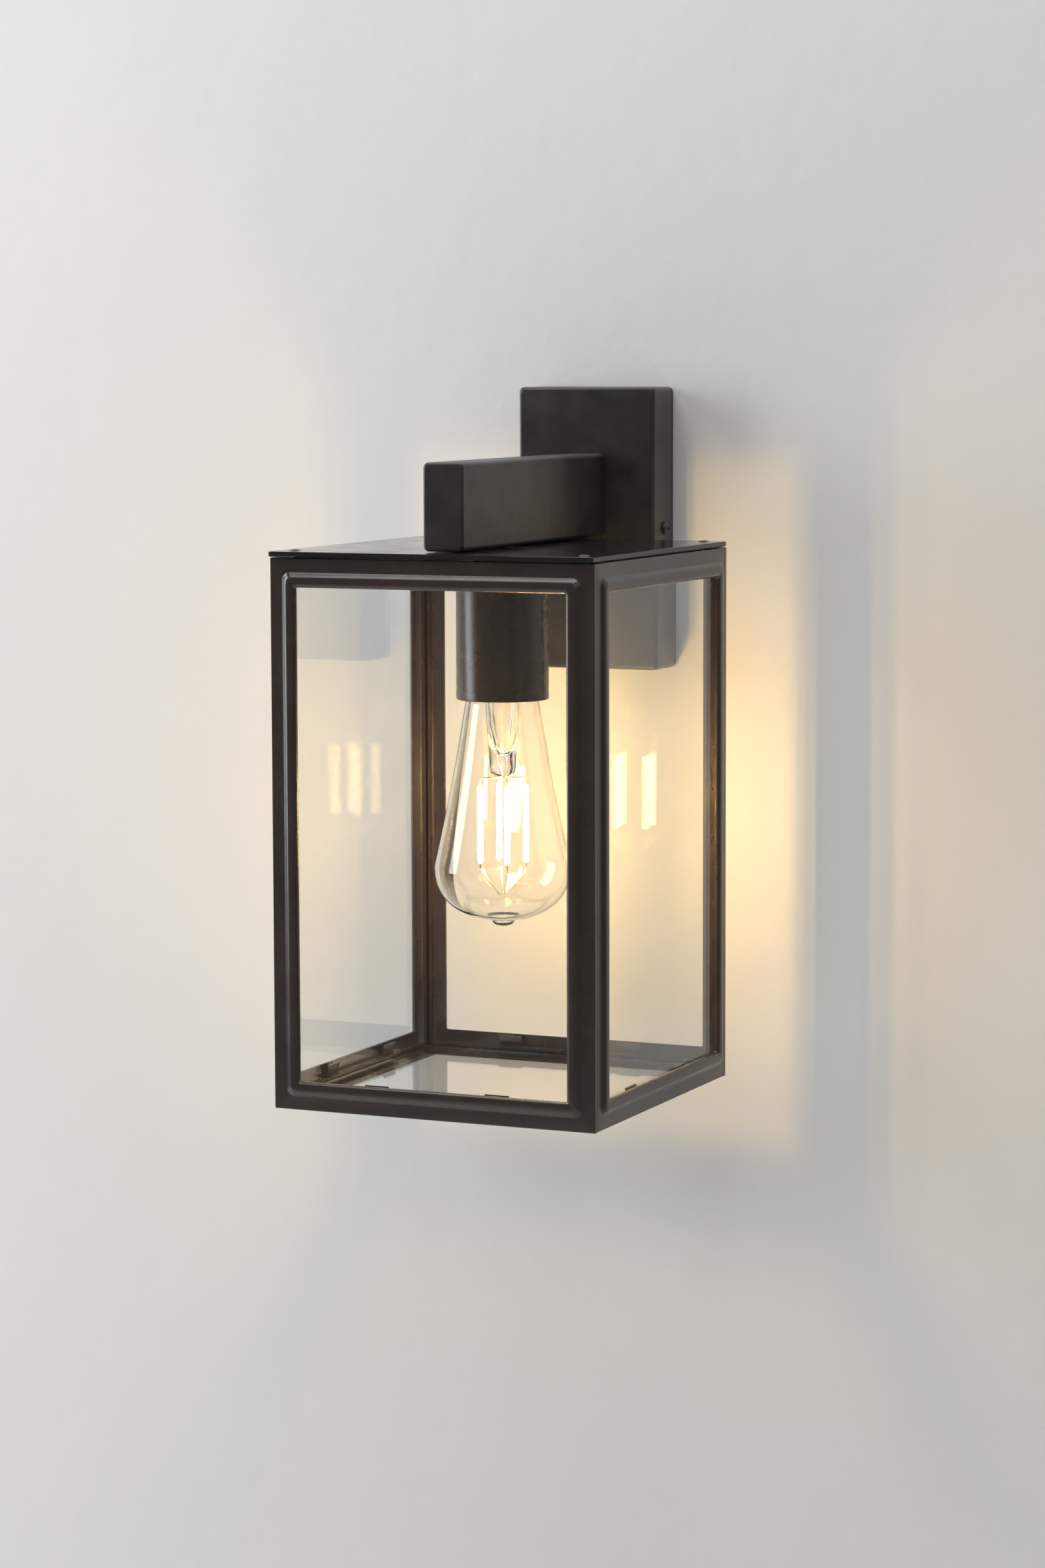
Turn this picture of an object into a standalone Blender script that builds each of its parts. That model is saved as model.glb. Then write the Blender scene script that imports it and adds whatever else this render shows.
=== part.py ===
"""Outdoor wall lantern: a square glazed cage under a flat lid, hung from a box-section arm on a
wall cover, with a screw-in filament lamp.

Frame: the origin is the centre of the bracket's back face, on the wall. +X is to the right as seen
from the room, +Y points into the wall and +Z is up. Lengths are in metres.
"""

import math

import bmesh
import bpy
from mathutils import Matrix, Vector

MM = 0.001

# Driving dimensions
BODY_WIDTH = 160 * MM  # the cage is square in plan
BODY_HEIGHT = 253 * MM
BODY_FRONT_Y = -202.5 * MM
BODY_BOTTOM_Z = -260 * MM
LID_THICKNESS = 2.5 * MM
LID_GAP = 0.35 * MM
COVER_WIDTH = 71 * MM
COVER_HEIGHT = 136 * MM
COVER_DEPTH = 24.5 * MM
COVER_FRONT = 1.8 * MM
COVER_SIDE = 1.6 * MM
COVER_RIM_Y = -1.9 * MM
ARM_WIDTH = 20 * MM
ARM_HEIGHT = 40 * MM
ARM_WALL = 1.6 * MM
ARM_FRONT_Y = -187.9 * MM
CUP_RADIUS = 21.5 * MM
CUP_BOTTOM_Z = -75 * MM
LAMP_RADIUS = 32 * MM
LAMP_TIP_Z = -181.2 * MM
THREAD_PITCH = 3.629 * MM
FIT = 0.3 * MM  # clearance between pieces that touch
HEAD_FIT = 0.2 * MM  # clearance under a screw head

# Worked out from the driving dimensions
HALF = BODY_WIDTH / 2
BODY_BACK_Y = BODY_FRONT_Y + BODY_WIDTH
CENTRE_Y = BODY_FRONT_Y + HALF
BODY_TOP_Z = BODY_BOTTOM_Z + BODY_HEIGHT
LID_BOTTOM_Z = BODY_TOP_Z + LID_GAP
LID_TOP_Z = LID_BOTTOM_Z + LID_THICKNESS
ARM_BOTTOM_Z = LID_TOP_Z + FIT
ARM_CENTRE_Z = ARM_BOTTOM_Z + ARM_HEIGHT / 2
ARM_FLOOR_Z = ARM_BOTTOM_Z + ARM_WALL
ARM_REAR_Y = -COVER_DEPTH - FIT

# Cage frames: border, flat band, raised bead and the skin behind it
BORDER = 13 * MM
SKIN = 2.5 * MM
BUTT = SKIN + FIT  # the side frames stand between the front and back ones
PANE_INSET = 7.5 * MM
PANE_FRONT = -0.9 * MM
PANE_THICKNESS = 3 * MM
FRAME_SECTION = (
    # inset from the outline, height over the outer face, corner radius (mm)
    (0.0, -2.5, 0.4),
    (0.0, -0.6, 0.5),
    (0.2, -0.17, 0.6),
    (0.6, 0.0, 0.8),
    (6.2, 0.0, 3.7),
    (6.7, 0.22, 3.6),
    (7.6, 1.1, 3.3),
    (8.5, 1.75, 3.0),
    (9.4, 2.0, 2.7),
    (11.2, 2.0, 1.9),
    (12.2, 1.8, 1.5),
    (12.9, 1.4, 1.2),
    (13.3, 0.8, 0.9),
    (13.4, 0.2, 0.7),
    (13.3, -0.6, 0.7),
    (7.2, -0.6, 1.0),
    (7.2, -5.2, 1.0),
    (5.8, -5.2, 1.5),
    (5.8, -2.5, 1.5),
)
CORNER_STEPS = 4

# The lid reaches forward over the front bead; M3 button heads sit in recesses near its corners
LID_OVERHANG = 2.2 * MM
LID_SCREW_INSET = 8.5 * MM
LID_RECESS = 0.8 * MM
LID_RECESS_RADIUS = 3.15 * MM
BUTTON_HEIGHT = 1.2 * MM
M3_SHANK = 1.45 * MM
M3_HOLE = 1.8 * MM
M4_SHANK = 2.0 * MM
M4_HOLE = 2.35 * MM

# Nipple that holds the lampholder, M10 x 1
NIPPLE_RADIUS = 5.0 * MM
NIPPLE_BORE = 3.6 * MM
NIPPLE_HOLE = 5.4 * MM

# Wiring
WIRE_RADIUS = 1.0 * MM
WIRE_STEP = 6 * MM
TERMINAL_TOP_Z = -17 * MM
TERMINAL_POLES_X = (15 * MM, -3 * MM, 6 * MM)  # live, neutral, earth
BLOCK_CENTRE_X = 6 * MM
CHAMBER_TERMINAL_X = 10 * MM
CHAMBER_FLOOR_Z = -36 * MM
CHAMBER_FLOOR = 3 * MM
LID_ARM_SCREWS_Y = (CENTRE_Y - 40 * MM, CENTRE_Y + 40 * MM)
ARM_SCREW_OFFSET = 12 * MM  # above and below the arm's middle
SIDE_SCREW_Y = -11 * MM
EARTH_SCREW_X = 24 * MM
EARTH_SCREW_Z = -46 * MM
BAR_THICKNESS = 2 * MM

# Screw cap and its socket
CAP_MEAN_RADIUS = 12.6 * MM
SOCKET_MEAN_RADIUS = 13.05 * MM
THREAD_HEIGHT = 0.47 * MM
THREAD_SEGMENTS = 20
THREAD_ROW = 0.75 * MM
CAP_THREAD_Z = (-62 * MM, -45.6 * MM)
SOCKET_THREAD_Z = (-61 * MM, -40.6 * MM)

# Lamp inside
ENVELOPE_WALL = 0.9 * MM
NECK_Z = -75 * MM
NECK_RADIUS = 17 * MM
SHOULDER_Z = -153 * MM
GLASS_BOTTOM_Z = -178.4 * MM
FILAMENT_CIRCLE = 10.8 * MM
FILAMENT_TURN = math.radians(34)
FILAMENT_Z = (-153.9 * MM, -112.9 * MM)
FILAMENT_RADIUS = 0.9 * MM
STEM_BOTTOM_Z = -111.4 * MM


# ---------------------------------------------------------------------------------- scene helpers


def clear_scene():
    for old in list(bpy.data.objects):
        bpy.data.objects.remove(old, do_unlink=True)


def material(name, colour, roughness, metallic=0.0, transmission=0.0):
    """A Principled material; colour is linear RGB."""
    made = bpy.data.materials.new(name)
    made.use_nodes = True
    shader = made.node_tree.nodes["Principled BSDF"]
    shader.inputs["Base Color"].default_value = (*colour, 1.0)
    shader.inputs["Roughness"].default_value = roughness
    shader.inputs["Metallic"].default_value = metallic
    shader.inputs["Transmission Weight"].default_value = transmission
    return made


def assembly(name, location):
    """An empty that carries the pieces of one body, on its joint's axis."""
    empty = bpy.data.objects.new(name, None)
    empty.location = location
    bpy.context.scene.collection.objects.link(empty)
    return empty


def finish(name, bm, finish_material, parent=None, smooth=False):
    """Turns a bmesh in world coordinates into an object, under its parent."""
    bmesh.ops.recalc_face_normals(bm, faces=bm.faces)
    mesh = bpy.data.meshes.new(name)
    bm.to_mesh(mesh)
    bm.free()
    if smooth:
        mesh.shade_smooth()
        mesh.set_sharp_from_angle(angle=math.radians(40))
    if finish_material:
        mesh.materials.append(finish_material)
    made = bpy.data.objects.new(name, mesh)
    bpy.context.scene.collection.objects.link(made)
    if parent:
        mesh.transform(Matrix.Translation(-parent.location))
        made.parent = parent
    return made


def loft(loops, closed=False):
    """Joins loops of equally many points; the ends are capped, or the last loop meets the first."""
    bm = bmesh.new()
    rings = [[bm.verts.new(point) for point in loop] for loop in loops]
    count = len(rings[0])
    pairs = list(zip(rings, rings[1:]))
    if closed:
        pairs.append((rings[-1], rings[0]))
    else:
        bm.faces.new(rings[0])
        bm.faces.new(rings[-1])
    for near, far in pairs:
        for i in range(count):
            j = (i + 1) % count
            bm.faces.new((near[i], near[j], far[j], far[i]))
    return bm


def rounded_rectangle(half_a, half_b, radius, steps=CORNER_STEPS):
    """Points of a rectangle with round corners, anticlockwise in the plane (a, b)."""
    points = []
    for corner, (sign_a, sign_b) in enumerate(((1, 1), (-1, 1), (-1, -1), (1, -1))):
        for step in range(steps):
            angle = math.pi / 2 * (corner + step / (steps - 1))
            a = sign_a * (half_a - radius) + radius * math.cos(angle)
            b = sign_b * (half_b - radius) + radius * math.sin(angle)
            points.append((a, b))
    return points


def turned(profile, centre=(0.0, 0.0), segments=24):
    """A solid turned about a vertical axis: (radius, z) points, open at the axis or all off it."""
    bm = bmesh.new()
    rings = []
    for radius, z in profile:
        if radius < 1e-7:
            rings.append([bm.verts.new((centre[0], centre[1], z))])
            continue
        ring = []
        for i in range(segments):
            angle = 2 * math.pi * i / segments
            x = centre[0] + radius * math.cos(angle)
            y = centre[1] + radius * math.sin(angle)
            ring.append(bm.verts.new((x, y, z)))
        rings.append(ring)
    for near, far in zip(rings, rings[1:] + rings[:1]):
        if len(near) == len(far) == 1:
            continue
        for i in range(segments):
            j = (i + 1) % segments
            corners = [near[i % len(near)], near[j % len(near)], far[j % len(far)], far[i % len(far)]]
            bm.faces.new(list(dict.fromkeys(corners)))
    return bm


def grid_solid(xs, ys, zs, filled):
    """A solid of box cells: filled(i, j, k) says which cells between the planes hold material."""
    bm = bmesh.new()
    corners = {}
    counts = (len(xs) - 1, len(ys) - 1, len(zs) - 1)

    def corner(index):
        if index not in corners:
            corners[index] = bm.verts.new((xs[index[0]], ys[index[1]], zs[index[2]]))
        return corners[index]

    def solid(cell):
        inside = all(0 <= cell[axis] < counts[axis] for axis in range(3))
        return inside and filled(*cell)

    cells = [(i, j, k) for i in range(counts[0]) for j in range(counts[1]) for k in range(counts[2])]
    for cell in filter(solid, cells):
        for axis in range(3):
            for side in (0, 1):
                beyond = list(cell)
                beyond[axis] += 2 * side - 1
                if solid(tuple(beyond)):
                    continue
                across = [other for other in range(3) if other != axis]
                face = []
                for du, dv in ((0, 0), (1, 0), (1, 1), (0, 1)):
                    index = list(cell)
                    index[axis] += side
                    index[across[0]] += du
                    index[across[1]] += dv
                    face.append(corner(tuple(index)))
                bm.faces.new(face)
    return bm


def box(low, high):
    return grid_solid((low[0], high[0]), (low[1], high[1]), (low[2], high[2]), lambda *cell: True)


def turn_bmesh(bm, direction, location):
    """Lays a bmesh that was made along +Z along the direction, and moves its origin to location."""
    turn = Vector((0, 0, 1)).rotation_difference(Vector(direction)).to_matrix().to_4x4()
    bmesh.ops.transform(bm, matrix=Matrix.Translation(location) @ turn, verts=bm.verts)
    return bm


def cut(target, bm, label):
    """Takes the bmesh, in world coordinates, out of the target with a Boolean."""
    cutter = finish(f"{label}_cutter", bm, None, parent=target.parent)
    cutter.hide_render = True
    cutter.display_type = "WIRE"
    modifier = target.modifiers.new(label, "BOOLEAN")
    modifier.object = cutter
    modifier.operation = "DIFFERENCE"
    modifier.solver = "EXACT"


def drill(target, start, direction, length, radius, label, segments=12):
    """A round hole from start along direction."""
    rod = turned(((0, 0), (radius, 0), (radius, length), (0, length)), segments=segments)
    cut(target, turn_bmesh(rod, direction, start), label)


def drill_slot(target, centre, length, width, depth, label):
    """A vertical slot with round ends, through along Y."""
    outline = rounded_rectangle(width / 2, length / 2, width / 2 * 0.999, steps=4)
    loops = [[(centre[0] + a, y, centre[2] + b) for a, b in outline] for y in (-depth, depth)]
    cut(target, loft(loops), label)


# ---------------------------------------------------------------------------------------- screws


def pan_screw(name, seat, direction, head_radius, head_height, shank_radius, shank_length, metal, parent):
    """Pan head with a cross recess. seat is the centre under the head; the shank runs along direction."""
    profile = (
        (0, -head_height),
        (head_radius * 0.55, -head_height * 0.96),
        (head_radius * 0.86, -head_height * 0.72),
        (head_radius, -head_height * 0.35),
        (head_radius, 0),
        (shank_radius, 0),
        (shank_radius, shank_length - shank_radius * 0.5),
        (shank_radius * 0.5, shank_length),
        (0, shank_length),
    )
    screw = finish(name, turn_bmesh(turned(profile, segments=16), direction, seat), metal, parent, True)
    reach = head_radius * 0.55
    arm = head_radius * 0.13
    depth = head_height * 0.6
    for turn, (across, along) in enumerate(((reach, arm), (arm, reach))):
        bar = box((-across, -along, -head_height * 1.5), (across, along, depth - head_height))
        cut(screw, turn_bmesh(bar, direction, seat), f"{name}_recess_{turn + 1}")
    return screw


def button_screw(name, x, y, z, shank_length, metal, parent):
    """M3 low button head with a hexagon socket, standing on its seat at z."""
    profile = (
        (0, z + BUTTON_HEIGHT),
        (1.2 * MM, z + BUTTON_HEIGHT * 0.97),
        (2.0 * MM, z + BUTTON_HEIGHT * 0.8),
        (2.6 * MM, z + BUTTON_HEIGHT * 0.48),
        (2.85 * MM, z + BUTTON_HEIGHT * 0.15),
        (2.8 * MM, z),
        (M3_SHANK, z),
        (M3_SHANK, z - shank_length),
        (0, z - shank_length),
    )
    screw = finish(name, turned(profile, (x, y), 16), metal, parent, True)
    drill(screw, (x, y, z + 0.5 * MM), (0, 0, 1), 2 * MM, 1.15 * MM, f"{name}_socket", 6)
    return screw


def plain_screw(name, seat, direction, head_radius, head_height, shank_radius, shank_length, metal, parent):
    """Cheese head with a slot, for the hidden terminals and fixings."""
    profile = (
        (0, -head_height),
        (head_radius * 0.9, -head_height),
        (head_radius, -head_height * 0.85),
        (head_radius, 0),
        (shank_radius, 0),
        (shank_radius, shank_length),
        (0, shank_length),
    )
    screw = finish(name, turn_bmesh(turned(profile, segments=12), direction, seat), metal, parent, True)
    slot = box(
        (-head_radius * 1.2, -head_radius * 0.13, -head_height * 1.5),
        (head_radius * 1.2, head_radius * 0.13, -head_height * 0.55),
    )
    cut(screw, turn_bmesh(slot, direction, seat), f"{name}_slot")
    return screw


# --------------------------------------------------------------------------------- wall fittings


def wall_bracket(steel, parent):
    """Flat bar on the wall with two ears folded forward that take the cover's side screws."""
    xs = [x * MM for x in (-33.4, -31.9, -30, 30, 31.9, 33.4)]
    ys = (-18 * MM, -BAR_THICKNESS, 0)
    zs = [z * MM for z in (-56, -8, 8, 56)]

    def filled(i, j, k):
        if j == 1:
            return k == 1 or i == 2
        return k == 1 and i in (0, 4)

    bracket = finish("wall_bracket", grid_solid(xs, ys, zs, filled), steel, parent)
    for side in (-1, 1):
        drill_slot(bracket, (0, 0, side * 48 * MM), 12 * MM, 5 * MM, 5 * MM, f"bracket_slot_{side + 1}")
        start = (side * 30 * MM, SIDE_SCREW_Y, 0)
        drill(bracket, start, (side, 0, 0), 5 * MM, M3_HOLE, f"bracket_ear_hole_{side + 1}")
    cable_start = (-20 * MM, -2 * BAR_THICKNESS, -26 * MM)
    drill(bracket, cable_start, (0, 1, 0), 8 * MM, 6 * MM, "bracket_cable_hole", 16)
    earth_start = (EARTH_SCREW_X, -2 * BAR_THICKNESS, EARTH_SCREW_Z)
    drill(bracket, earth_start, (0, 1, 0), 8 * MM, M4_HOLE, "bracket_earth_hole")


def wall_gasket(foam, parent):
    """Foam ring between the cover's rim and the wall."""
    outer = rounded_rectangle(COVER_WIDTH / 2 - 0.2 * MM, COVER_HEIGHT / 2 - 0.2 * MM, 2 * MM)
    inner = rounded_rectangle(COVER_WIDTH / 2 - 1.7 * MM, COVER_HEIGHT / 2 - 1.7 * MM, 0.8 * MM)
    rows = ((outer, -1.6 * MM), (outer, 0), (inner, 0), (inner, -1.6 * MM))
    loops = [[(a, y, b) for a, b in outline] for outline, y in rows]
    finish("wall_gasket", loft(loops, closed=True), foam, parent)


def tray_loops(half_a, half_b, corner, wall, floor, mouth_y, end_y, centre_z, edge):
    """Loops of an open box along -Y: inner floor, mouth, outer side, rounded outer end."""
    inner_a = half_a - wall
    inner_b = half_b - wall
    inner_corner = max(corner - wall, 0.4 * MM)
    rows = [
        (inner_a, inner_b, inner_corner, end_y + floor),
        (inner_a, inner_b, inner_corner, mouth_y),
        (half_a, half_b, corner, mouth_y),
    ]
    for step in range(4):
        angle = math.pi / 2 * step / 3
        pull = edge * (1 - math.cos(angle))
        depth = end_y + edge * (1 - math.sin(angle))
        rows.append((half_a - pull, half_b - pull, corner, depth))
    return [
        [(a, y, centre_z + b) for a, b in rounded_rectangle(ha, hb, r, 5)]
        for ha, hb, r, y in rows
    ]


def wall_cover(paint, parent):
    """Shallow box that closes over the bracket and carries the arm."""
    half_a = COVER_WIDTH / 2
    half_b = COVER_HEIGHT / 2
    corner = 2.2 * MM
    edge = 1.5 * MM
    loops = tray_loops(
        half_a, half_b, corner, COVER_SIDE, COVER_FRONT, COVER_RIM_Y, -COVER_DEPTH, 0, edge
    )
    cover = finish("wall_cover", loft(loops), paint, parent, True)
    for side in (-1, 1):
        start = (side * (COVER_WIDTH / 2 - 4 * MM), SIDE_SCREW_Y, 0)
        drill(cover, start, (side, 0, 0), 8 * MM, M3_HOLE, f"cover_side_hole_{side + 1}")
        start = (0, -COVER_DEPTH - MM, ARM_CENTRE_Z + side * ARM_SCREW_OFFSET)
        drill(cover, start, (0, 1, 0), 4 * MM, M4_HOLE, f"cover_arm_hole_{side + 1}")
    drill(cover, (0, -COVER_DEPTH - MM, ARM_CENTRE_Z), (0, 1, 0), 4 * MM, 4.5 * MM, "cover_wire_hole", 16)


def cover_screws(metal, parent):
    """M3 pan heads through the cover's sides into the bracket's ears."""
    for name, side in (("cover_screw_left", -1), ("cover_screw_right", 1)):
        seat = (side * (COVER_WIDTH / 2 + HEAD_FIT), SIDE_SCREW_Y, 0)
        pan_screw(name, seat, (-side, 0, 0), 3 * MM, 1.9 * MM, M3_SHANK, 7 * MM, metal, parent)


def terminal_block(nylon, parent):
    """Three-pole block: wires enter at the top and bottom, screws are reached from the front."""
    low = (BLOCK_CENTRE_X - 14 * MM, -16.3 * MM, TERMINAL_TOP_Z - 17 * MM)
    high = (BLOCK_CENTRE_X + 14 * MM, -2.3 * MM, TERMINAL_TOP_Z)
    block = finish("terminal_block", box(low, high), nylon, parent)
    for pole, x in enumerate(TERMINAL_POLES_X):
        drill(block, (x, -9 * MM, high[2] + MM), (0, 0, -1), 6 * MM, 1.5 * MM, f"block_top_{pole}", 8)
        drill(block, (x, -9 * MM, low[2] - MM), (0, 0, 1), 6 * MM, 1.8 * MM, f"block_bottom_{pole}", 8)
        for row in (-1, 1):
            start = (x, low[1] - MM, (low[2] + high[2]) / 2 + row * 4 * MM)
            drill(block, start, (0, 1, 0), 5 * MM, 2 * MM, f"block_screw_{pole}_{row + 1}", 8)


def earth_screw(brass, parent):
    seat = (EARTH_SCREW_X, -BAR_THICKNESS - HEAD_FIT, EARTH_SCREW_Z)
    plain_screw("earth_screw", seat, (0, 1, 0), 3.8 * MM, 2.6 * MM, M4_SHANK, 1.9 * MM, brass, parent)


# ------------------------------------------------------------------------------------------- arm


def arm_tube(paint, parent):
    """Rectangular tube from the cover to over the lid, closed at its front end."""
    half_a = ARM_WIDTH / 2
    half_b = ARM_HEIGHT / 2
    front = 2 * MM
    edge = 1.2 * MM
    loops = tray_loops(
        half_a, half_b, 2.4 * MM, ARM_WALL, front, ARM_REAR_Y, ARM_FRONT_Y, ARM_CENTRE_Z, edge
    )
    arm = finish("arm_tube", loft(loops), paint, parent, True)
    start_z = ARM_BOTTOM_Z - MM
    drill(arm, (0, CENTRE_Y, start_z), (0, 0, 1), 4 * MM, NIPPLE_HOLE, "arm_nipple_hole", 16)
    for index, y in enumerate(LID_ARM_SCREWS_Y):
        drill(arm, (0, y, start_z), (0, 0, 1), 4 * MM, M4_HOLE, f"arm_lid_screw_hole_{index}")


def arm_rear_block(aluminium, parent):
    """Block in the arm's rear end that the cover's two screws pull on, bored for the wires."""
    half_a = ARM_WIDTH / 2 - ARM_WALL - FIT
    half_b = ARM_HEIGHT / 2 - ARM_WALL - FIT
    outline = rounded_rectangle(half_a, half_b, 1.2 * MM)
    rows = (ARM_REAR_Y - 10 * MM, ARM_REAR_Y - FIT)
    loops = [[(a, y, ARM_CENTRE_Z + b) for a, b in outline] for y in rows]
    block = finish("arm_rear_block", loft(loops), aluminium, parent)
    start_y = rows[0] - MM
    drill(block, (0, start_y, ARM_CENTRE_Z), (0, 1, 0), 12 * MM, 3.6 * MM, "rear_block_bore", 16)
    for side in (-1, 1):
        start = (0, start_y, ARM_CENTRE_Z + side * ARM_SCREW_OFFSET)
        drill(block, start, (0, 1, 0), 12 * MM, M4_HOLE, f"rear_block_thread_{side + 1}")


def arm_screws(metal, parent):
    """M4 screws from inside the cover into the arm's rear block."""
    inner_face = -COVER_DEPTH + COVER_FRONT
    for name, side in (("arm_screw_lower", -1), ("arm_screw_upper", 1)):
        seat = (0, inner_face + HEAD_FIT, ARM_CENTRE_Z + side * ARM_SCREW_OFFSET)
        plain_screw(name, seat, (0, -1, 0), 3.8 * MM, 2.6 * MM, M4_SHANK, 11 * MM, metal, parent)


def wire_bush(rubber, parent):
    """Rubber bush where the wires pass the cover's front."""
    flange = 1.2 * MM
    profile = (
        (3.1 * MM, 0),
        (6 * MM, 0),
        (6 * MM, flange),
        (4.2 * MM, flange),
        (4.2 * MM, flange + 2.0 * MM),
        (3.1 * MM, flange + 2.0 * MM),
    )
    start = (0, -COVER_DEPTH + COVER_FRONT + HEAD_FIT + flange, ARM_CENTRE_Z)
    bush = turn_bmesh(turned(profile, segments=16), (0, -1, 0), start)
    finish("wire_bush", bush, rubber, parent, True)


# ------------------------------------------------------------------------------------------- lid


def lid_corners():
    """Names and (x, y) of the four lid screws."""
    reach = HALF - LID_SCREW_INSET
    return (
        ("front_left", -reach, CENTRE_Y - reach),
        ("front_right", reach, CENTRE_Y - reach),
        ("back_left", -reach, CENTRE_Y + reach),
        ("back_right", reach, CENTRE_Y + reach),
    )


def lid_plate(paint, parent):
    """Flat lid with slightly broken edges and a recess for each screw head."""
    edge = 0.5 * MM
    rows = (
        (edge, LID_BOTTOM_Z),
        (0, LID_BOTTOM_Z + edge),
        (0, LID_TOP_Z - edge),
        (edge * 0.3, LID_TOP_Z - edge * 0.3),
        (edge, LID_TOP_Z),
    )
    loops = []
    for pull, z in rows:
        outline = rounded_rectangle(HALF - pull, HALF + LID_OVERHANG / 2 - pull, 1.2 * MM)
        loops.append([(a, CENTRE_Y - LID_OVERHANG / 2 + b, z) for a, b in outline])
    lid = finish("lid_plate", loft(loops), paint, parent, True)
    start_z = LID_BOTTOM_Z - MM
    drill(lid, (0, CENTRE_Y, start_z), (0, 0, 1), 5 * MM, NIPPLE_HOLE, "lid_nipple_hole", 16)
    for index, y in enumerate(LID_ARM_SCREWS_Y):
        drill(lid, (0, y, start_z), (0, 0, 1), 5 * MM, M4_HOLE, f"lid_arm_hole_{index}")
    for label, x, y in lid_corners():
        drill(lid, (x, y, start_z), (0, 0, 1), 5 * MM, M3_HOLE, f"lid_hole_{label}")
        seat = (x, y, LID_TOP_Z - LID_RECESS)
        drill(lid, seat, (0, 0, 1), 2 * MM, LID_RECESS_RADIUS, f"lid_recess_{label}", 16)


def lid_screws(metal, parent):
    seat_z = LID_TOP_Z - LID_RECESS + HEAD_FIT
    for label, x, y in lid_corners():
        button_screw(f"lid_screw_{label}", x, y, seat_z, 10 * MM, metal, parent)


def lid_arm_screws(metal, parent):
    """M4 screws from under the lid up into the arm."""
    for name, y in zip(("lid_arm_screw_front", "lid_arm_screw_rear"), LID_ARM_SCREWS_Y):
        seat = (0, y, LID_BOTTOM_Z - HEAD_FIT)
        pan_screw(name, seat, (0, 0, 1), 3.9 * MM, 2.4 * MM, M4_SHANK, 9 * MM, metal, parent)


# ----------------------------------------------------------------------------------- lampholder


def threaded_nipple(brass, parent):
    """Hollow rod that clamps arm, lid and cup together and carries the lampholder."""
    low = -29.5 * MM
    high = 3.5 * MM
    chamfer = 0.6 * MM
    profile = (
        (NIPPLE_BORE, low),
        (NIPPLE_RADIUS - chamfer, low),
        (NIPPLE_RADIUS, low + chamfer),
        (NIPPLE_RADIUS, high - chamfer),
        (NIPPLE_RADIUS - chamfer, high),
        (NIPPLE_BORE, high),
    )
    finish("threaded_nipple", turned(profile, (0, CENTRE_Y), 16), brass, parent, True)


def nipple_nut(brass, parent):
    """Hexagon nut on the arm's floor, 14 mm across flats."""
    corner = 14 * MM / math.sqrt(3)
    low = ARM_FLOOR_Z + FIT
    rod = ((0, low), (corner, low), (corner, low + 3 * MM), (0, low + 3 * MM))
    nut = finish("nipple_nut", turned(rod, (0, CENTRE_Y), 6), brass, parent)
    start = (0, CENTRE_Y, low - MM)
    drill(nut, start, (0, 0, 1), 5 * MM, NIPPLE_RADIUS + FIT, "nut_thread", 16)


def lampholder_cup(paint, parent):
    """Plain cylindrical shroud, open below."""
    wall = 1.2 * MM
    top = LID_BOTTOM_Z - FIT
    edge = 0.5 * MM
    profile = (
        (NIPPLE_HOLE, top),
        (CUP_RADIUS - edge, top),
        (CUP_RADIUS, top - edge),
        (CUP_RADIUS, CUP_BOTTOM_Z + edge),
        (CUP_RADIUS - edge * 0.6, CUP_BOTTOM_Z),
        (CUP_RADIUS - wall, CUP_BOTTOM_Z),
        (CUP_RADIUS - wall, top - wall),
        (NIPPLE_HOLE, top - wall),
    )
    finish("lampholder_cup", turned(profile, (0, CENTRE_Y), 32), paint, parent, True)


def lampholder_body(porcelain, parent):
    """Insulator with a wiring chamber above its floor and the screw socket's bore below it."""
    bore = 14.95 * MM
    profile = (
        (NIPPLE_RADIUS + FIT, -26 * MM),
        (18.6 * MM, -26 * MM),
        (19.5 * MM, -27 * MM),
        (19.5 * MM, -68 * MM),
        (15.6 * MM, -68 * MM),
        (bore, -64 * MM),
        (bore, CHAMBER_FLOOR_Z - CHAMBER_FLOOR),
        (1.9 * MM, CHAMBER_FLOOR_Z - CHAMBER_FLOOR),
        (1.9 * MM, CHAMBER_FLOOR_Z),
        (15.5 * MM, CHAMBER_FLOOR_Z),
        (15.5 * MM, -30.5 * MM),
        (NIPPLE_RADIUS + FIT, -30.5 * MM),
    )
    finish("lampholder_body", turned(profile, (0, CENTRE_Y), 20), porcelain, parent, True)


def centre_contact(brass, parent):
    """Riveted contact in the middle of the socket's floor."""
    floor = CHAMBER_FLOOR_Z
    profile = (
        (0, floor + 0.9 * MM),
        (3 * MM, floor + 0.9 * MM),
        (3 * MM, floor + FIT),
        (1.5 * MM, floor + FIT),
        (1.5 * MM, floor - CHAMBER_FLOOR - FIT),
        (4 * MM, floor - CHAMBER_FLOOR - FIT),
        (3.2 * MM, floor - 4.6 * MM),
        (0, floor - 4.9 * MM),
    )
    finish("centre_contact", turned(profile, (0, CENTRE_Y), 14), brass, parent, True)


def holder_terminals(brass, parent):
    """Terminal screws on the floor of the wiring chamber."""
    for name, side in (("holder_terminal_neutral", -1), ("holder_terminal_live", 1)):
        base = CHAMBER_FLOOR_Z + FIT
        x = side * CHAMBER_TERMINAL_X
        profile = (
            (0, base),
            (2.2 * MM, base),
            (2.2 * MM, base + 3 * MM),
            (1.8 * MM, base + 3.4 * MM),
            (0, base + 3.4 * MM),
        )
        finish(name, turned(profile, (x, CENTRE_Y), 14), brass, parent, True)


def thread_radius(mean, height, angle, z):
    """Right-hand rounded thread: the crest climbs one pitch in a turn."""
    return mean + height * math.cos(2 * math.pi * z / THREAD_PITCH - angle)


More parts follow.
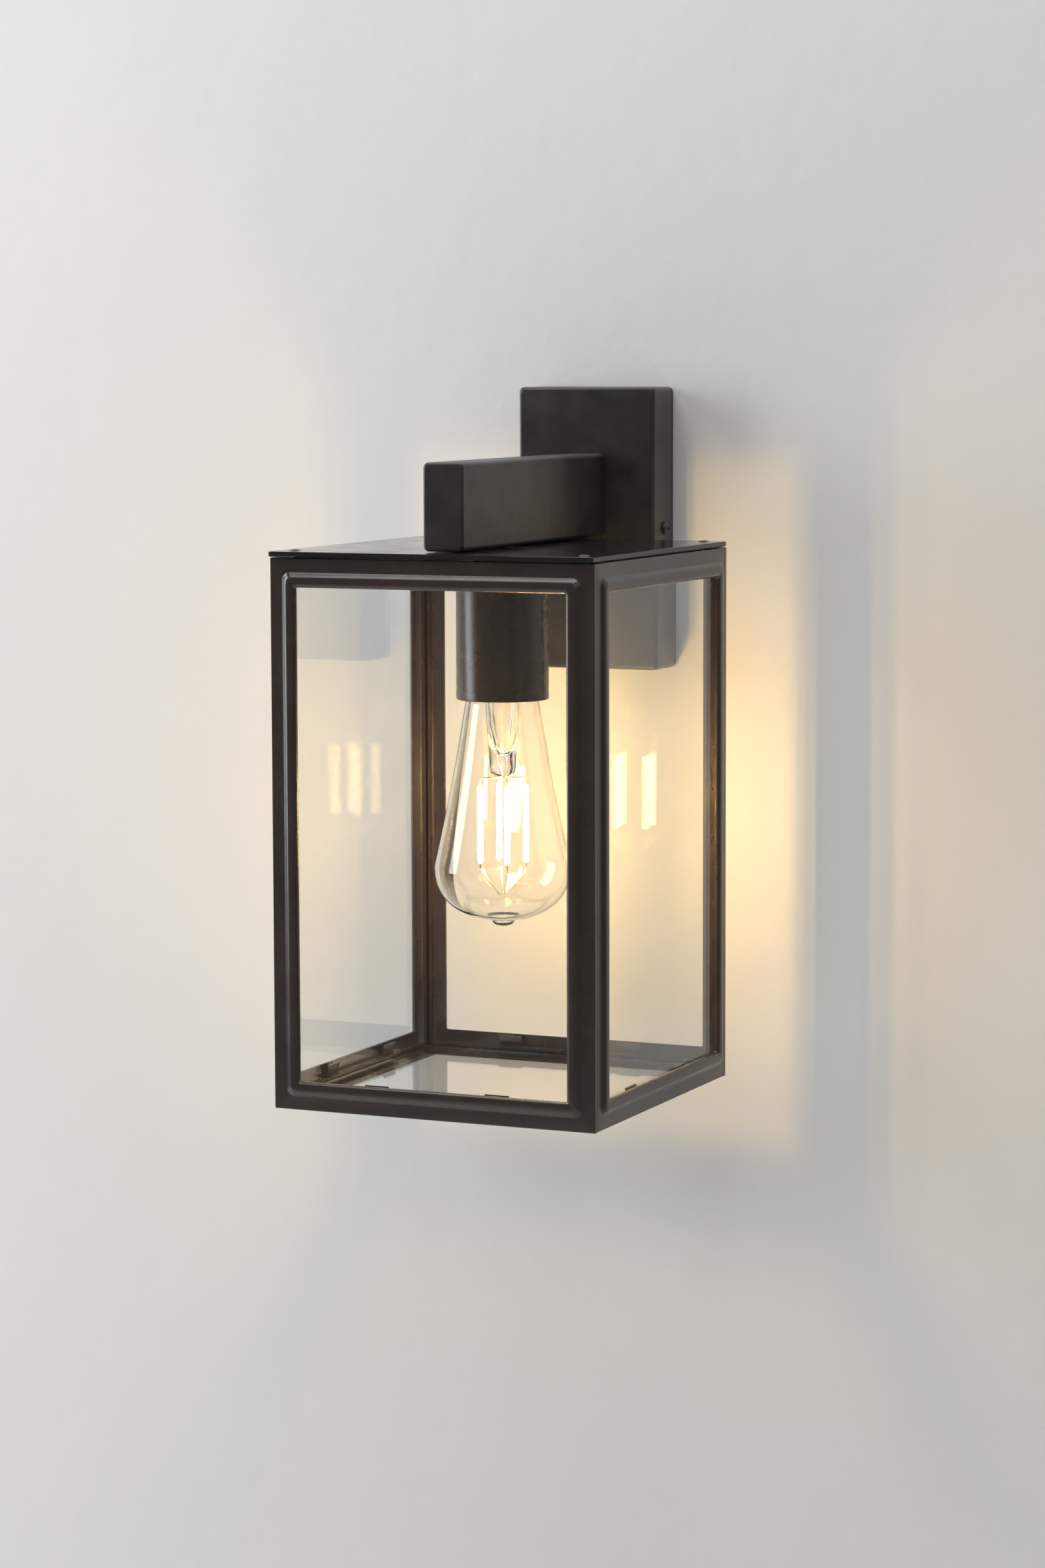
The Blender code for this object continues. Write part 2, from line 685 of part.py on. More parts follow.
def threaded_rings(span, mean, outward):
    """Rows of (x, y, z) on a thread; outward threads fade out, inward ones fade to the wide side."""
    low, high = span
    rows = round((high - low) / THREAD_ROW)
    rings = []
    for row in range(rows + 1):
        z = low + (high - low) * row / rows
        fade = min(1.0, (z - low) / (1.5 * MM), (high - z) / (1.5 * MM))
        shift = -(1 - fade) * THREAD_HEIGHT if outward else (1 - fade) * THREAD_HEIGHT
        ring = []
        for i in range(THREAD_SEGMENTS):
            angle = 2 * math.pi * i / THREAD_SEGMENTS
            radius = thread_radius(mean + shift, THREAD_HEIGHT * fade, angle, z)
            ring.append((radius * math.cos(angle), CENTRE_Y + radius * math.sin(angle), z))
        rings.append(ring)
    return rings


def plain_ring(radius, z):
    points = []
    for i in range(THREAD_SEGMENTS):
        angle = 2 * math.pi * i / THREAD_SEGMENTS
        points.append((radius * math.cos(angle), CENTRE_Y + radius * math.sin(angle), z))
    return points


def socket_shell(brass, parent):
    """Thin threaded sleeve of the socket, with a flange under the insulator's floor."""
    wall = 0.45 * MM
    top = CHAMBER_FLOOR_Z - CHAMBER_FLOOR - FIT
    inner = threaded_rings(SOCKET_THREAD_Z, SOCKET_MEAN_RADIUS, outward=False)
    outer_radius = SOCKET_MEAN_RADIUS + THREAD_HEIGHT + wall
    loops = inner + [
        plain_ring(8 * MM, top - 0.6 * MM),
        plain_ring(8 * MM, top),
        plain_ring(outer_radius, top),
        plain_ring(outer_radius, SOCKET_THREAD_Z[0]),
    ]
    finish("socket_shell", loft(loops, closed=True), brass, parent, True)


# ---------------------------------------------------------------------------------------- wiring


def smooth_route(points, step):
    """Points about a step apart on a smooth curve through the route's own points."""
    ends = [2 * points[0] - points[1]] + points + [2 * points[-1] - points[-2]]
    fine = []
    for p0, p1, p2, p3 in zip(ends, ends[1:], ends[2:], ends[3:]):
        count = max(1, round((p2 - p1).length / step))
        for i in range(count):
            t = i / count
            fine.append(
                0.5
                * (
                    2 * p1
                    + (p2 - p0) * t
                    + (2 * p0 - 5 * p1 + 4 * p2 - p3) * t**2
                    + (3 * p1 - p0 - 3 * p2 + p3) * t**3
                )
            )
    fine.append(points[-1])
    return fine


def wire(name, route, insulation, parent):
    """One insulated conductor along its route, which is in millimetres."""
    points = smooth_route([Vector(point) * MM for point in route], WIRE_STEP)
    curve = bpy.data.curves.new(name, "CURVE")
    curve.dimensions = "3D"
    curve.bevel_depth = WIRE_RADIUS
    curve.bevel_resolution = 2
    curve.use_fill_caps = True
    spline = curve.splines.new("POLY")
    spline.points.add(len(points) - 1)
    for knot, point in zip(spline.points, points):
        knot.co = (*point, 1)
    curve.materials.append(insulation)
    made = bpy.data.objects.new(name, curve)
    made.parent = parent
    bpy.context.scene.collection.objects.link(made)


def wires(brown, blue, green, parent):
    """Live and neutral run to the lampholder; earth ends at the rear screw of the lid."""
    live_x, neutral_x, earth_x = (x / MM for x in TERMINAL_POLES_X)
    terminal_z = TERMINAL_TOP_Z / MM
    arm_z = ARM_CENTRE_Z / MM
    centre_y = CENTRE_Y / MM
    for name, pole_x, side, insulation in (
        ("wire_live", live_x, 1, brown),
        ("wire_neutral", neutral_x, -1, blue),
    ):
        lane = 1.5 * side
        route = (
            (pole_x, -9, terminal_z - 3.5),
            (pole_x, -9, terminal_z + 4),
            (pole_x * 0.8 + lane, -9.5, terminal_z + 14),
            (pole_x * 0.25 + lane, -11.5, arm_z - 7),
            (lane, -18, arm_z + 0.4),
            (lane, -26, arm_z + 0.9),
            (lane, -40, arm_z + 0.9),
            (lane, -70, arm_z - 0.5),
            (lane, -100, arm_z),
            (lane, centre_y + 9, arm_z - 1.5),
            (lane, centre_y + 2, arm_z - 7),
            (lane, centre_y, arm_z - 15),
            (lane, centre_y, -10),
            (lane, centre_y, -27),
            (2.4 * side, centre_y, -31.6),
            (4.6 * side, centre_y, -33.2),
            (7.4 * side, centre_y, -33.4),
        )
        wire(name, route, insulation, parent)
    route = (
        (earth_x, -9, terminal_z - 3.5),
        (earth_x, -9, terminal_z + 4),
        (earth_x * 0.7, -8.2, terminal_z + 14),
        (earth_x * 0.2, -10.5, arm_z - 11),
        (0, -17, arm_z - 3.2),
        (0, -26, arm_z - 1.7),
        (0, -38, arm_z - 2.5),
        (0, -52, arm_z - 9),
        (0, -64, ARM_FLOOR_Z / MM + 3),
        (0, -75.5, ARM_FLOOR_Z / MM + 1.6),
    )
    wire("wire_earth", route, green, parent)


# ------------------------------------------------------------------------------------------ cage


def side_place(side):
    """Turns (a, w, z) on a side, w being out of its face, into a world point."""
    return {
        "front": lambda a, w, z: (a, BODY_FRONT_Y - w, z),
        "back": lambda a, w, z: (-a, BODY_BACK_Y + w, z),
        "right": lambda a, w, z: (HALF + w, CENTRE_Y + a, z),
        "left": lambda a, w, z: (-HALF - w, CENTRE_Y - a, z),
    }[side]


def side_butt(side):
    """How far a frame stays inside the corner, on its upright edges."""
    return 0 if side in ("front", "back") else BUTT


def side_frame(side, paint, parent):
    """Picture frame with a raised bead and a rib behind it that boxes in the pane."""
    place = side_place(side)
    butt = side_butt(side)
    middle_z = BODY_BOTTOM_Z + BODY_HEIGHT / 2
    loops = []
    for inset_mm, height_mm, radius_mm in FRAME_SECTION:
        inset = inset_mm * MM
        across = HALF - butt - max(0, inset - butt)
        up = BODY_HEIGHT / 2 - inset
        outline = rounded_rectangle(across, up, radius_mm * MM)
        loops.append([place(a, height_mm * MM, middle_z + b) for a, b in outline])
    finish(f"{side}_frame", loft(loops, closed=True), paint, parent, True)


def side_pane(side, glass, parent):
    place = side_place(side)
    half = HALF - PANE_INSET
    low = BODY_BOTTOM_Z + PANE_INSET
    high = BODY_TOP_Z - PANE_INSET
    outline = ((-half, low), (half, low), (half, high), (-half, high))
    loops = [[place(a, w, z) for a, z in outline] for w in (PANE_FRONT, PANE_FRONT - PANE_THICKNESS)]
    finish(f"{side}_pane", loft(loops), glass, parent)


def glass_clip(side, paint, parent):
    """Strip on the lower rib with two tabs bent up behind the pane."""
    place = side_place(side)
    strip = [a * MM for a in (-36, -24, 24, 36)]
    depth = [w * MM for w in (-8.2, -4.9, -4.2)]
    base = BODY_BOTTOM_Z + PANE_INSET
    rise = (base, base + 0.7 * MM, base + 5.6 * MM)

    def filled(i, j, k):
        return k == 0 or (i != 1 and j == 1)

    bm = grid_solid(strip, depth, rise, filled)
    for vert in bm.verts:
        lean = 1.3 * MM if vert.co.z > rise[1] + MM else 0
        vert.co = place(vert.co.x, vert.co.y - lean, vert.co.z)
    finish(f"glass_clip_{side}", bm, paint, parent)


def bottom_frame(paint, parent):
    """Square flange that carries the bottom pane, with an upstand at its outer edge."""
    base = BODY_BOTTOM_Z + 0.2 * MM
    section = (
        (HALF - BUTT - FIT, base),
        (HALF - BUTT - FIT, base + 5 * MM),
        (HALF - BUTT - FIT - 1.3 * MM, base + 5 * MM),
        (HALF - BUTT - FIT - 1.3 * MM, base + 2 * MM),
        (HALF - BORDER, base + 2 * MM),
        (HALF - BORDER, base),
    )
    loops = []
    for reach, z in section:
        outline = ((-reach, -reach), (reach, -reach), (reach, reach), (-reach, reach))
        loops.append([(a, CENTRE_Y + b, z) for a, b in outline])
    finish("bottom_frame", loft(loops, closed=True), paint, parent)


def bottom_pane(glass, parent):
    reach = HALF - BUTT - 2 * FIT - 1.6 * MM
    low = BODY_BOTTOM_Z + 2.5 * MM
    pane = box((-reach, CENTRE_Y - reach, low), (reach, CENTRE_Y + reach, low + 2.8 * MM))
    finish("bottom_pane", pane, glass, parent)


def corner_bracket(label, x, y, paint, parent):
    """Tab in a top corner of the cage that the lid screw goes through."""
    sign_x = math.copysign(1, x)
    sign_y = math.copysign(1, y - CENTRE_Y)
    far = HALF - 5.6 * MM
    near = HALF - 14.5 * MM
    xs = sorted((sign_x * near, sign_x * far))
    ys = sorted((CENTRE_Y + sign_y * near, CENTRE_Y + sign_y * far))
    top = BODY_TOP_Z - FIT
    tab = box((xs[0], ys[0], top - 5 * MM), (xs[1], ys[1], top))
    bracket = finish(f"corner_bracket_{label}", tab, paint, parent)
    drill(bracket, (x, y, top - 7 * MM), (0, 0, 1), 10 * MM, M3_HOLE, f"corner_hole_{label}")


# ------------------------------------------------------------------------------------------ lamp


def tip_contact(solder, parent):
    """Contact on the end of the screw cap."""
    profile = (
        (0, -41.2 * MM),
        (3 * MM, -41.35 * MM),
        (4.5 * MM, -41.9 * MM),
        (4.5 * MM, -42.6 * MM),
        (0, -42.6 * MM),
    )
    finish("bulb_tip_contact", turned(profile, (0, CENTRE_Y), 20), solder, parent, True)


def cap_insulator(black_glass, parent):
    profile = (
        (0, -42.9 * MM),
        (5 * MM, -42.9 * MM),
        (8.9 * MM, -44.6 * MM),
        (8.9 * MM, -46.8 * MM),
        (0, -46.8 * MM),
    )
    finish("bulb_cap_insulator", turned(profile, (0, CENTRE_Y), 24), black_glass, parent, True)


def cap_shell(nickel, parent):
    """Threaded metal sleeve of the screw cap with a plain skirt that holds the glass neck."""
    inner = 11.5 * MM
    loops = [
        plain_ring(12.85 * MM, -67 * MM),
        plain_ring(13.3 * MM, -67 * MM),
        plain_ring(13.25 * MM, -63.4 * MM),
        plain_ring(12.4 * MM, -62.6 * MM),
    ]
    loops += threaded_rings(CAP_THREAD_Z, CAP_MEAN_RADIUS, outward=True)
    loops += [
        plain_ring(9.3 * MM, -44.4 * MM),
        plain_ring(9.3 * MM, -45.4 * MM),
        plain_ring(inner, -46.6 * MM),
        plain_ring(inner, -64 * MM),
    ]
    finish("bulb_cap_shell", loft(loops, closed=True), nickel, parent, True)


def envelope_profile(pull):
    """(radius, z) points down the envelope, drawn in by pull along its walls."""
    points = []
    neck = ((11.2, -58.0), (11.2, -64.4), (12.3, -66.6), (13.3, -67.7), (15.2, -71.0))
    for radius, z in neck:
        points.append((radius * MM - pull, z * MM))
    cone_steps = 4
    for step in range(cone_steps):
        t = step / cone_steps
        hollow = 0.7 * MM * math.sin(math.pi * t)
        radius = NECK_RADIUS + (LAMP_RADIUS - NECK_RADIUS) * t - hollow
        points.append((radius - pull, NECK_Z + (SHOULDER_Z - NECK_Z) * t))
    power = 2 / 2.3  # between a circle and a rounded square
    dome_steps = 8
    pip = 5.4 * MM
    for step in range(dome_steps):
        angle = math.pi / 2 * step / dome_steps
        radius = (LAMP_RADIUS - pull) * math.cos(angle) ** power
        z = SHOULDER_Z + (GLASS_BOTTOM_Z + pull - SHOULDER_Z) * math.sin(angle) ** power
        if radius > pip + 0.8 * MM:
            points.append((radius, z))
    drop = LAMP_TIP_Z + pull - GLASS_BOTTOM_Z
    for share, depth in ((1.0, 0.02), (0.8, 0.55), (0.4, 0.92)):
        points.append((pip * share - pull * 0.5 * share, GLASS_BOTTOM_Z + drop * depth))
    points.append((0, LAMP_TIP_Z + pull))
    return points


def lamp_envelope(glass, parent):
    outer = envelope_profile(0)
    inner = envelope_profile(ENVELOPE_WALL)
    bm = turned(outer + inner[::-1], (0, CENTRE_Y), 24)
    finish("bulb_envelope", bm, glass, parent, True)


def lamp_stem(glass, parent):
    """Glass tube from the cap down to the press that holds the lead wires."""
    profile = (
        (9.2 * MM, -59 * MM),
        (8.6 * MM, -64 * MM),
        (8.0 * MM, -78 * MM),
        (6.9 * MM, -98 * MM),
        (6.6 * MM, -106 * MM),
        (5.4 * MM, -110 * MM),
        (3.2 * MM, STEM_BOTTOM_Z),
        (0, STEM_BOTTOM_Z),
        (0, -101 * MM),
        (3.4 * MM, -100 * MM),
        (5.7 * MM, -95 * MM),
        (7.0 * MM, -78 * MM),
        (7.6 * MM, -64 * MM),
        (8.2 * MM, -59 * MM),
    )
    finish("bulb_stem", turned(profile, (0, CENTRE_Y), 16), glass, parent, True)


def filament_spider(name, hub_z, stations, metal, parent):
    """Four bent wires from a hub out to the filaments; stations are (radius, z) along each wire."""
    hub = 0.55 * MM
    bm = bmesh.new()
    bmesh.ops.create_cube(bm, size=2 * hub)
    sides = [face for face in bm.faces if abs(face.normal.z) < 0.5]
    for face in sides:
        outward = face.normal.copy()
        for radius, z in stations:
            grown = bmesh.ops.extrude_discrete_faces(bm, faces=[face])["faces"][0]
            middle = grown.calc_center_median()
            target = outward * radius + Vector((0, 0, z - hub_z))
            bmesh.ops.translate(bm, verts=grown.verts, vec=target - middle)
            face = grown
        for vert in face.verts:
            vert.co = target + (vert.co - target) * 0.75
    turn = Matrix.Rotation(FILAMENT_TURN, 4, "Z")
    move = Matrix.Translation((0, CENTRE_Y, hub_z))
    bmesh.ops.transform(bm, matrix=move @ turn, verts=bm.verts)
    finish(name, bm, metal, parent)


def filaments(phosphor, parent):
    """Four upright LED filaments around the axis."""
    low, high = FILAMENT_Z
    radius = FILAMENT_RADIUS
    chamfer = 0.4 * MM
    profile = (
        (0, low),
        (radius - chamfer, low),
        (radius, low + chamfer),
        (radius, high - chamfer),
        (radius - chamfer, high),
        (0, high),
    )
    for index in range(4):
        angle = FILAMENT_TURN + math.pi / 2 * index
        x = FILAMENT_CIRCLE * math.cos(angle)
        y = CENTRE_Y + FILAMENT_CIRCLE * math.sin(angle)
        finish(f"led_filament_{index + 1}", turned(profile, (x, y), 10), phosphor, parent, True)


# -------------------------------------------------------------------------------------- assembly


def build_fixture(paint, gloss_paint, steel, brass):
    fixture = assembly("fixture", (0, 0, 0))
    wall_bracket(steel, fixture)
    wall_gasket(material("gasket_foam", (0.02, 0.02, 0.02), 0.9), fixture)
    wall_cover(paint, fixture)
    black_screw = material("blackened_screw", (0.03, 0.028, 0.026), 0.4, 0.6)
    cover_screws(black_screw, fixture)
    terminal_block(material("terminal_nylon", (0.75, 0.74, 0.70), 0.5), fixture)
    earth_screw(brass, fixture)
    arm_tube(paint, fixture)
    arm_rear_block(material("bare_aluminium", (0.6, 0.6, 0.61), 0.4, 1.0), fixture)
    arm_screws(steel, fixture)
    wire_bush(material("bush_rubber", (0.015, 0.015, 0.015), 0.8), fixture)
    lid_plate(gloss_paint, fixture)
    lid_screws(black_screw, fixture)
    lid_arm_screws(black_screw, fixture)
    threaded_nipple(brass, fixture)
    nipple_nut(brass, fixture)
    lampholder_cup(paint, fixture)
    lampholder_body(material("porcelain", (0.78, 0.76, 0.70), 0.3), fixture)
    centre_contact(brass, fixture)
    holder_terminals(brass, fixture)
    socket_shell(brass, fixture)
    wires(
        material("brown_insulation", (0.14, 0.05, 0.02), 0.45),
        material("blue_insulation", (0.03, 0.10, 0.40), 0.45),
        material("green_yellow_insulation", (0.25, 0.40, 0.03), 0.45),
        fixture,
    )


def build_cage(paint):
    cage = assembly("cage", (0, CENTRE_Y, BODY_TOP_Z))
    glass = material("clear_pane", (0.95, 0.97, 0.96), 0.02, transmission=1.0)
    for side in ("front", "back", "left", "right"):
        side_frame(side, paint, cage)
        side_pane(side, glass, cage)
        glass_clip(side, paint, cage)
    bottom_frame(paint, cage)
    bottom_pane(glass, cage)
    for label, x, y in lid_corners():
        corner_bracket(label, x, y, paint, cage)


def build_lamp():
    travel = assembly("bulb_travel_axis", (0, CENTRE_Y, LAMP_TIP_Z))
    turn = assembly("bulb_turn_axis", (0, CENTRE_Y, LAMP_TIP_Z))
    tip_contact(material("solder", (0.55, 0.54, 0.52), 0.4, 1.0), travel)
    cap_insulator(material("black_cap_glass", (0.02, 0.02, 0.02), 0.2), turn)
    cap_shell(material("nickel_cap", (0.62, 0.60, 0.56), 0.3, 1.0), turn)
    bulb_glass = material("bulb_glass", (0.97, 0.95, 0.92), 0.01, transmission=1.0)
    lamp_envelope(bulb_glass, turn)
    lamp_stem(bulb_glass, turn)
    wire_metal = material("support_wire", (0.6, 0.58, 0.55), 0.3, 1.0)
    low, high = FILAMENT_Z
    upper = ((4 * MM, high + 0.5 * MM), (FILAMENT_CIRCLE, high + 0.9 * MM))
    filament_spider("filament_support_upper", high + 0.5 * MM, upper, wire_metal, turn)
    lower = ((3.2 * MM, low - 8 * MM), (FILAMENT_CIRCLE, low - 0.9 * MM))
    filament_spider("filament_support_lower", low - 13 * MM, lower, wire_metal, turn)
    filaments(material("led_phosphor", (1.0, 0.72, 0.30), 0.5), turn)


def main():
    clear_scene()
    paint = material("satin_black_paint", (0.031, 0.028, 0.026), 0.42)
    gloss_paint = material("lid_black_paint", (0.028, 0.026, 0.024), 0.2)
    steel = material("zinc_steel", (0.5, 0.5, 0.5), 0.4, 1.0)
    brass = material("brass", (0.65, 0.45, 0.18), 0.35, 1.0)
    build_fixture(paint, gloss_paint, steel, brass)
    build_cage(paint)
    build_lamp()


main()
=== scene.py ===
"""Looks of the outdoor wall lantern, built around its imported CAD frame.

Row frame: +X right as seen from the room, +Y into the wall, +Z up, in metres.
"""

import math

import bmesh
import bpy
from mathutils import Matrix, Vector


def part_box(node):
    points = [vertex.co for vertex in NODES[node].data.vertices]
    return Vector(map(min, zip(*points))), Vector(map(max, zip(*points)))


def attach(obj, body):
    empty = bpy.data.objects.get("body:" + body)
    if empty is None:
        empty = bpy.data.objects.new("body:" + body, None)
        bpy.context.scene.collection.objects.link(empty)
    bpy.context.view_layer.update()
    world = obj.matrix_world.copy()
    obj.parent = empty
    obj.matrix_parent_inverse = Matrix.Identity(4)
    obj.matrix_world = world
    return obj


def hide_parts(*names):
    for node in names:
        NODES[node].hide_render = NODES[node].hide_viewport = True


MM = 0.001
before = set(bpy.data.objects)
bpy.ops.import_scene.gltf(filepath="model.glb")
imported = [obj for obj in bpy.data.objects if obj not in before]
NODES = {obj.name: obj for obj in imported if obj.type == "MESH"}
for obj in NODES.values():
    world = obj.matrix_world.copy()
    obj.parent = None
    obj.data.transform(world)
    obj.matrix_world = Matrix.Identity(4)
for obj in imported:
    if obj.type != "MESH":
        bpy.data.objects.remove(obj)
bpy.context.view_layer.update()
SIDES = ("front", "back", "left", "right")
CORNERS = ("front_left", "front_right", "back_left", "back_right")

# Camera: slightly above and to the right of the lantern; the lens is for the frame's longer side
CAMERA_PLACE = Vector((0.7823, -1.8558, 0.0883))
CAMERA_AZIMUTH = math.radians(24.03)
CAMERA_TILT = math.radians(6.10)
CAMERA_ROLL = math.radians(-0.18)
CAMERA_LENS = 94.31
CAMERA_SENSOR = 36.0

# The lamp's axis
LAMP_LOW, LAMP_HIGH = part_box("bulb_envelope")
AXIS_X = (LAMP_LOW.x + LAMP_HIGH.x) / 2
AXIS_Y = (LAMP_LOW.y + LAMP_HIGH.y) / 2

# The stem's flat press and its leads are turned from the X axis
PRESS_TURN = math.radians(34)

FILAMENT_NAMES = [f"led_filament_{index}" for index in range(1, 5)]
FILAMENT_RADIUS = 1.3 * MM
FILAMENT_ENDS = 2.2 * MM
TAB_RADIUS = 0.42 * MM
UPPER_WIRE = 0.3 * MM
LOWER_WIRE = 0.32 * MM
ENVELOPE_WALL = 1.0  # in mm, as the envelope's profile is

# How far a lid screw's head stands over its seat, in mm
SCREW_CROWN = 1.2

# Edges bent further than this stay sharp, in degrees
SHARP_ANGLE = 38.0

WARM_LIGHT = (1.0, 0.59, 0.18)
DAYLIGHT = (0.93, 0.96, 1.0)
WHITE_LIGHT = (1.0, 1.0, 1.0)
FILAMENT_GLOW = 215.0

# Light and dark tone of each paint
CAGE_COLOURS = (0.038, 0.023, 0.016), (0.029, 0.0175, 0.0125)
# The arm's slight warm tint over its charcoal paint is painted warm lamp glare
ARM_COLOURS_WITH_PAINTED_GLARE = (0.042, 0.036, 0.034), (0.025, 0.0215, 0.0205)
# The cup's brown tint over its dark paint is painted warm lamp glow
CUP_COLOURS_WITH_PAINTED_GLOW = (0.078, 0.043, 0.017), (0.062, 0.034, 0.013)
LID_COLOURS = (0.018, 0.014, 0.013), (0.012, 0.010, 0.009)
SCREW_COLOURS = (0.05, 0.047, 0.044), (0.03, 0.028, 0.027)
DUST_COLOUR = (0.16, 0.155, 0.15)

# The room
WALL_Y = 0.8 * MM
WALL_TOP = 2.4
FLOOR_Z = -0.85
STAGE_REACH = 3.0


# ------------------------------------------------------------------------------- node materials


class Graph:
    """A material's node tree, filled by short calls."""

    def __init__(self, name):
        self.material = bpy.data.materials.new(name)
        self.material.use_nodes = True
        self.tree = self.material.node_tree
        self.tree.nodes.clear()
        self.output = self.tree.nodes.new("ShaderNodeOutputMaterial")
        self.coords = self.add("ShaderNodeTexCoord").outputs["Object"]

    def add(self, kind, settings=None, **values):
        """A node; values are its inputs by name (spaces as _), plain or a socket to link from."""
        node = self.tree.nodes.new(kind)
        for key, value in (settings or {}).items():
            setattr(node, key, value)
        for key, value in values.items():
            self.feed(node.inputs[key.replace("_", " ")], value)
        return node

    def feed(self, socket, value):
        if isinstance(value, bpy.types.NodeSocket):
            self.tree.links.new(value, socket)
        elif isinstance(value, tuple) and len(value) == 3 and socket.type == "RGBA":
            socket.default_value = (*value, 1.0)
        else:
            socket.default_value = value

    def noise(self, scale, detail=3.0, roughness=0.5):
        node = self.add(
            "ShaderNodeTexNoise",
            Vector=self.coords,
            Scale=scale,
            Detail=detail,
            Roughness=roughness,
        )
        return node.outputs["Fac"]

    def remap(self, value, low, high, to_low=0.0, to_high=1.0):
        settings = {"interpolation_type": "SMOOTHSTEP"}
        node = self.add("ShaderNodeMapRange", settings, Value=value)
        self.feed(node.inputs["From Min"], low)
        self.feed(node.inputs["From Max"], high)
        self.feed(node.inputs["To Min"], to_low)
        self.feed(node.inputs["To Max"], to_high)
        return node.outputs[0]

    def maths(self, operation, a, b=0.0):
        node = self.tree.nodes.new("ShaderNodeMath")
        node.operation = operation
        self.feed(node.inputs[0], a)
        self.feed(node.inputs[1], b)
        return node.outputs[0]

    def mix(self, factor, a, b):
        """Mixes two colours."""
        node = self.tree.nodes.new("ShaderNodeMix")
        node.data_type = "RGBA"
        self.feed(node.inputs["Factor"], factor)
        self.feed(node.inputs[6], a)
        self.feed(node.inputs[7], b)
        return node.outputs[2]

    def mix_shader(self, factor, a, b):
        node = self.tree.nodes.new("ShaderNodeMixShader")
        for index, value in enumerate((factor, a, b)):
            self.feed(node.inputs[index], value)
        return node.outputs[0]

    def bump(self, height, strength, distance, normal=None):
        node = self.add("ShaderNodeBump", Height=height, Strength=strength, Distance=distance)
        if normal:
            self.feed(node.inputs["Normal"], normal)
        return node.outputs[0]

    def facing_up(self):
        normal = self.add("ShaderNodeNewGeometry").outputs["Normal"]
        return self.add("ShaderNodeSeparateXYZ", Vector=normal).outputs["Z"]

    def surface(self, shader):
        self.tree.links.new(shader, self.output.inputs["Surface"])
        return self.material


def powder_coat(name, light, dark, roughness, dust=0.5, peel=1.0, sheen=0.5):
    """Powder coat: mottled colour, fine orange peel, and dust on what faces up."""
    g = Graph(name)
    cloud = g.remap(g.noise(30.0, 5.0, 0.6), 0.36, 0.68)
    speck = g.remap(g.noise(1500.0, 2.0), 0.66, 0.76)
    colour = g.mix(cloud, dark, light)
    up = g.remap(g.facing_up(), 0.25, 0.95)
    settled = g.maths("MULTIPLY", up, g.remap(g.noise(60.0, 6.0, 0.7), 0.38, 0.7, 0.4, 1.0))
    settled = g.maths("MULTIPLY", settled, dust)
    flecks = g.maths("MULTIPLY", speck, 0.10 * dust)
    film = g.maths("ADD", settled, flecks)
    film = g.maths("ADD", film, g.maths("MULTIPLY", cloud, 0.05 * dust))
    colour = g.mix(film, colour, DUST_COLOUR)
    rough = g.remap(g.noise(90.0, 4.0, 0.6), 0.3, 0.75, roughness - 0.03, roughness + 0.06)
    rough = g.maths("ADD", rough, g.maths("MULTIPLY", film, 0.3))
    peel_bump = g.bump(g.noise(520.0, 1.0), 0.035 * peel, 0.0006)
    grain = g.bump(g.noise(3200.0, 2.0), 0.06 * peel, 0.0002, peel_bump)
    shader = g.add(
        "ShaderNodeBsdfPrincipled",
        Base_Color=colour,
        Roughness=rough,
        Specular_IOR_Level=sheen,
        Normal=grain,
    )
    return g.surface(shader.outputs[0])


def bare_metal(name, light, dark, roughness):
    """Plated or plain metal with faint tarnish and fine tool marks."""
    g = Graph(name)
    tarnish = g.remap(g.noise(120.0, 5.0, 0.6), 0.35, 0.7)
    colour = g.mix(tarnish, light, dark)
    rough = g.remap(g.noise(300.0, 3.0), 0.3, 0.7, roughness - 0.06, roughness + 0.10)
    marks = g.bump(g.noise(900.0, 2.0), 0.12, 0.0002)
    shader = g.add(
        "ShaderNodeBsdfPrincipled", Base_Color=colour, Roughness=rough, Metallic=1.0, Normal=marks
    )
    return g.surface(shader.outputs[0])


def moulded(name, light, dark, roughness, grain=0.12, scale=1400.0):
    """Plastic, rubber, foam or porcelain: slight colour drift and a fine surface grain."""
    g = Graph(name)
    colour = g.mix(g.remap(g.noise(70.0, 4.0), 0.35, 0.7), light, dark)
    rough = g.remap(g.noise(240.0, 3.0), 0.3, 0.7, roughness - 0.05, roughness + 0.06)
    surface = g.bump(g.noise(scale, 2.0), grain, 0.0003)
    shader = g.add("ShaderNodeBsdfPrincipled", Base_Color=colour, Roughness=rough, Normal=surface)
    return g.surface(shader.outputs[0])


def striped_insulation(name, green, yellow):
    """Earth wire: yellow stripes along green."""
    g = Graph(name)
    wave = g.add(
        "ShaderNodeTexWave", {"bands_direction": "X"}, Vector=g.coords, Scale=110.0, Distortion=0.4
    )
    colour = g.mix(g.remap(wave.outputs["Fac"], 0.45, 0.55), green, yellow)
    rough = g.remap(g.noise(300.0), 0.3, 0.7, 0.38, 0.5)
    shader = g.add("ShaderNodeBsdfPrincipled", Base_Color=colour, Roughness=rough)
    return g.surface(shader.outputs[0])


